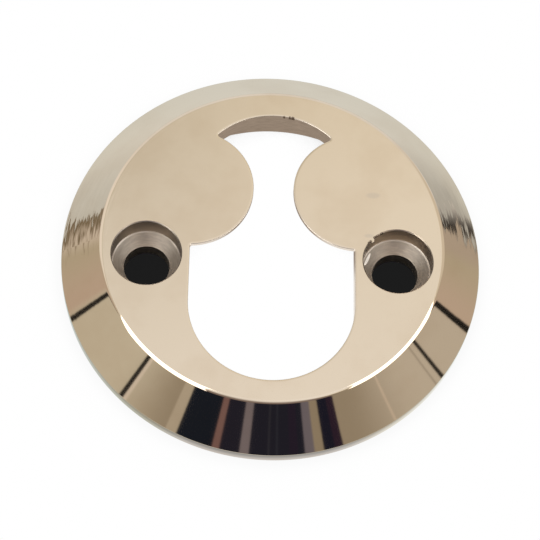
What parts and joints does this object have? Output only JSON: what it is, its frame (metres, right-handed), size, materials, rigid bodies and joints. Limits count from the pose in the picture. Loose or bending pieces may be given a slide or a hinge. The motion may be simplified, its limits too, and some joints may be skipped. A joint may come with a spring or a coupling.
{
  "type": "cylinder ring",
  "caption": "Round bevelled cover ring for an oval lock cylinder, with an oval opening narrowed by two thin round webs and countersunk screw holes.",
  "frame": {"origin": "centre of the back face, on the axis of the ring", "axes": "+Z out of the front face, away from the door; +Y towards the narrow, crescent end of the opening; +X to the right as seen from the front"},
  "size_m": [0.055, 0.055, 0.0068],
  "materials": {
    "nickel_plated_brass": "mirror-polished nickel plate"
  },
  "bodies": {
    "root": {"cylinder_ring": "nickel_plated_brass"}
  },
  "joints": []
}
